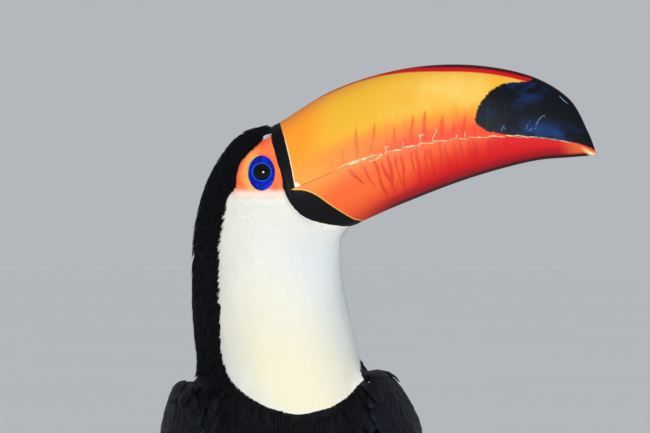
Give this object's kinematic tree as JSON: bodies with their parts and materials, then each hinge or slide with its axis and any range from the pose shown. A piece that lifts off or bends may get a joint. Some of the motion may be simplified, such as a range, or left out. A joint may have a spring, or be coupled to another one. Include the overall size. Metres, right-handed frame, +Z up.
{
  "type": "toco toucan",
  "caption": "Life-size toco toucan perched upright with its head turned to its left, white bib and huge orange bill, on a short branch held by two rods on a flat base.",
  "frame": {"origin": "centre of the stand base's underside, on the floor", "axes": "+Z up; the bird's breast faces -Y; its head is turned to its left, so the bill points along +X; the tail hangs towards +Y; the branch runs along X"},
  "size_m": [0.2862, 0.2608, 0.5031],
  "materials": {
    "plumage_black": "black feathers with a faint blue sheen",
    "plumage_bib": "fine creamy-white feathers",
    "bill_upper": "smooth horn, semi-gloss",
    "bill_lower": "smooth horn, semi-gloss",
    "eye": "wet gloss",
    "leg_skin": "scaly, satin",
    "claw": "smooth horn",
    "perch_bark": "rough bark with sawn ends",
    "stand_wood": "dark stained, satin varnish",
    "stand_steel": "satin"
  },
  "bodies": {
    "root": {"trunk": "plumage_black", "neck": "plumage_bib", "head": "plumage_bib", "eye_right": "eye", "eye_left": "eye", "bill_upper": "bill_upper", "bill_lower": "bill_lower", "wing_left": "plumage_black", "thigh_left": "plumage_black", "tarsus_left": "leg_skin", "foot_left": "leg_skin", "claw_inner_front_left": "claw", "claw_outer_front_left": "claw", "claw_inner_back_left": "claw", "claw_outer_back_left": "claw", "wing_right": "plumage_black", "thigh_right": "plumage_black", "tarsus_right": "leg_skin", "foot_right": "leg_skin", "claw_inner_front_right": "claw", "claw_outer_front_right": "claw", "claw_inner_back_right": "claw", "claw_outer_back_right": "claw", "tail": "plumage_black", "perch": "perch_bark", "stand_base": "stand_wood", "stand_rod_left": "stand_steel", "stand_rod_right": "stand_steel"}
  },
  "joints": []
}
